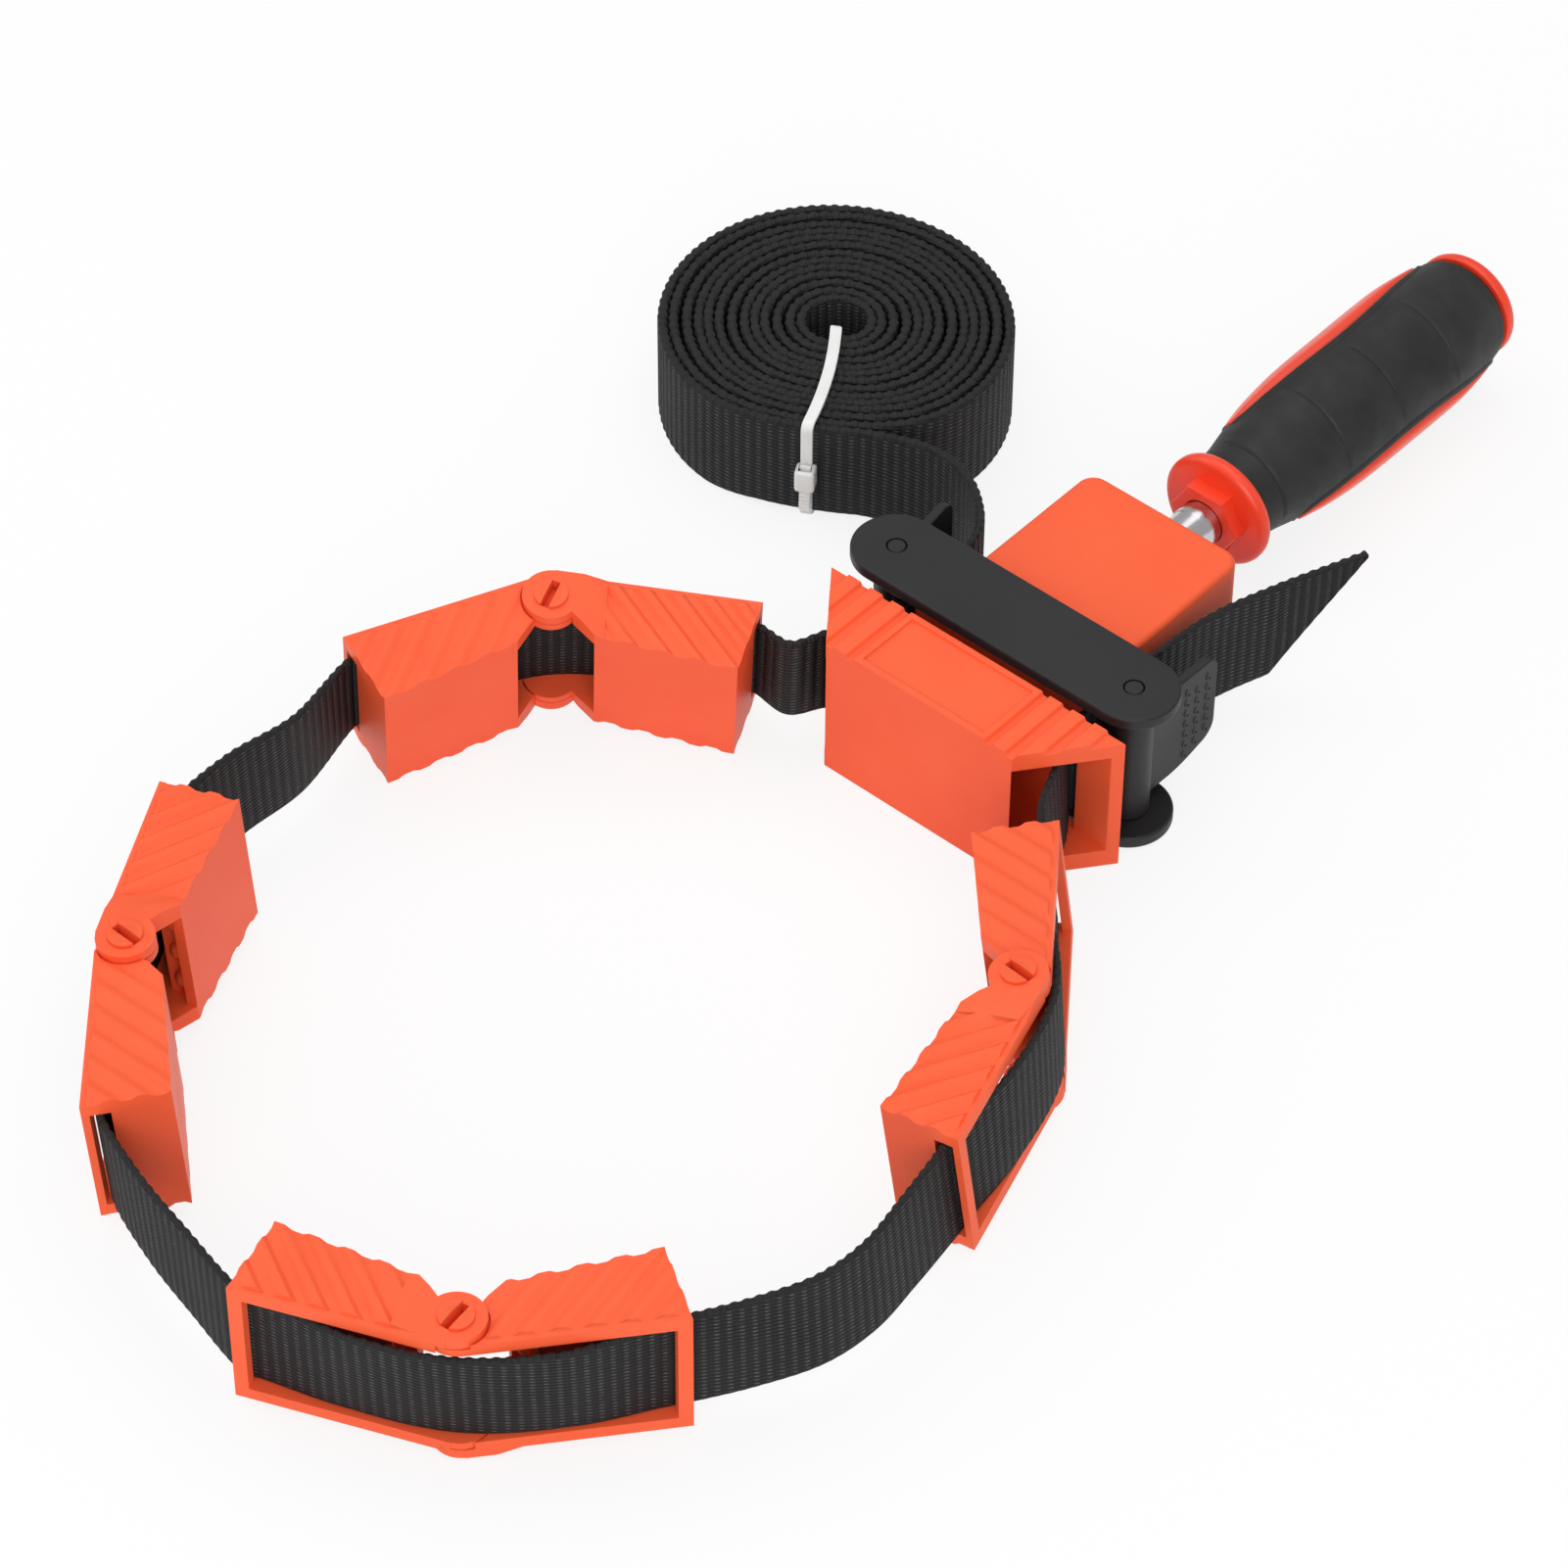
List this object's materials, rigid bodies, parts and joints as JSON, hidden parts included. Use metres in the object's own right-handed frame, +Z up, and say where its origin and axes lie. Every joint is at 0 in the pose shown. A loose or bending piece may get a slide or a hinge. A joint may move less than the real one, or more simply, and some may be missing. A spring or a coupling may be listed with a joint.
{
  "type": "band clamp",
  "caption": "Band clamp with a screw handle, a carriage with cam levers, hinged corner jaws on a webbing strap, and the spare strap coiled and tied.",
  "frame": {"origin": "middle of the whole footprint, on the surface that it stands on", "axes": "+X along the carriage plates to the right, +Y from the front block towards the handle's end, +Z up"},
  "size_m": [0.217, 0.3868, 0.0379],
  "materials": {
    "orange": "satin",
    "black": "satin",
    "rubber": "matte",
    "steel": "polished",
    "webbing": "woven",
    "nylon": "satin"
  },
  "bodies": {
    "block": {"front_block": "orange", "strap_block_left": "webbing", "strap_block_right": "webbing", "strap_span_1": "webbing", "strap_span_2": "webbing", "strap_span_3": "webbing"},
    "handle": {"spindle": "steel", "handle_core": "orange", "handle_grip": "rubber", "handle_end_cap": "orange"},
    "carriage": {"rear_block": "orange", "bottom_plate": "black", "top_plate": "black", "lever_pin_left": "black", "lever_pin_right": "black", "strap_tail": "webbing", "strap_roll": "webbing", "cable_tie": "nylon"},
    "lever_right": {"cam_lever_right": "black"},
    "lever_left": {"cam_lever_left": "black"},
    "jaw_1": {"jaw_1_base": "orange", "strap_in_jaw_1": "webbing"},
    "jaw_1_fold": {"jaw_1_fold": "orange"},
    "jaw_2": {"jaw_2_base": "orange", "strap_in_jaw_2": "webbing"},
    "jaw_2_fold": {"jaw_2_fold": "orange"},
    "jaw_3": {"jaw_3_base": "orange", "strap_in_jaw_3": "webbing"},
    "jaw_3_fold": {"jaw_3_fold": "orange"},
    "jaw_4": {"jaw_4_base": "orange", "strap_in_jaw_4": "webbing"},
    "jaw_4_fold": {"jaw_4_fold": "orange"}
  },
  "joints": [
    {"name": "handle_turn", "type": "hinge", "parent": "block", "child": "handle", "pos_m": [0.02452, 0.09555, 0.0186], "axis": [0, -1, 0], "range_deg": [-180, 1464]},
    {"name": "carriage_slide", "type": "slide", "parent": "block", "child": "carriage", "axis": [0, 1, 0], "range_m": [-0.0015, 0.0122], "deforming": ["strap_block_left", "strap_block_right"]},
    {"name": "lever_right_open", "type": "hinge", "parent": "carriage", "child": "lever_right", "pos_m": [0.05572, 0.03555, 0.0184], "axis": [0, 0, -1], "range_deg": [0, 90]},
    {"name": "lever_left_open", "type": "hinge", "parent": "carriage", "child": "lever_left", "pos_m": [-0.00668, 0.03555, 0.0184], "axis": [0, 0, 1], "range_deg": [0, 80]},
    {"name": "jaw_1_slide", "type": "slide", "parent": "block", "child": "jaw_1", "axis": [0.6659, 0.7461, 0], "range_m": [-0.01, 0.006], "deforming": ["strap_block_left", "strap_span_1"]},
    {"name": "jaw_1_fold", "type": "hinge", "parent": "jaw_1", "child": "jaw_1_fold", "pos_m": [-0.05278, -0.01935, 0.0199], "axis": [0.1602, -0.143, 0.9767], "range_deg": [-33.1, 71.9], "deforming": ["strap_in_jaw_1", "strap_span_1"]},
    {"name": "jaw_2_slide", "type": "slide", "parent": "block", "child": "jaw_2", "axis": [-0.5764, 0.8171, 0], "range_m": [-0.01, 0.01], "deforming": ["strap_span_1", "strap_span_2"]},
    {"name": "jaw_2_fold", "type": "hinge", "parent": "jaw_2", "child": "jaw_2_fold", "pos_m": [-0.04638, -0.14495, 0.0196], "axis": [-0.0485, -0.0342, 0.9982], "range_deg": [-16.2, 88.8], "deforming": ["strap_in_jaw_2", "strap_span_2"]},
    {"name": "jaw_3_slide", "type": "slide", "parent": "block", "child": "jaw_3", "axis": [-0.8039, -0.5948, 0], "range_m": [-0.01, 0.01], "deforming": ["strap_span_2", "strap_span_3"]},
    {"name": "jaw_3_fold", "type": "hinge", "parent": "jaw_3", "child": "jaw_3_fold", "pos_m": [0.06422, -0.17125, 0.0177], "axis": [0, 0, 1], "range_deg": [-30.6, 74.4], "deforming": ["strap_in_jaw_3", "strap_span_3"]},
    {"name": "jaw_4_slide", "type": "slide", "parent": "block", "child": "jaw_4", "axis": [0.4485, -0.8938, 0], "range_m": [-0.006, 0.01], "deforming": ["strap_span_3", "strap_block_right"]},
    {"name": "jaw_4_fold", "type": "hinge", "parent": "jaw_4", "child": "jaw_4_fold", "pos_m": [0.08872, -0.03715, 0.0182], "axis": [0.1167, 0.0585, -0.9914], "range_deg": [-24.1, 80.9], "deforming": ["strap_in_jaw_4", "strap_span_3"]}
  ],
  "couplings": [
    {"joint": "carriage_slide", "follows": "handle_turn", "m_per_rad": 0.00047746}
  ]
}
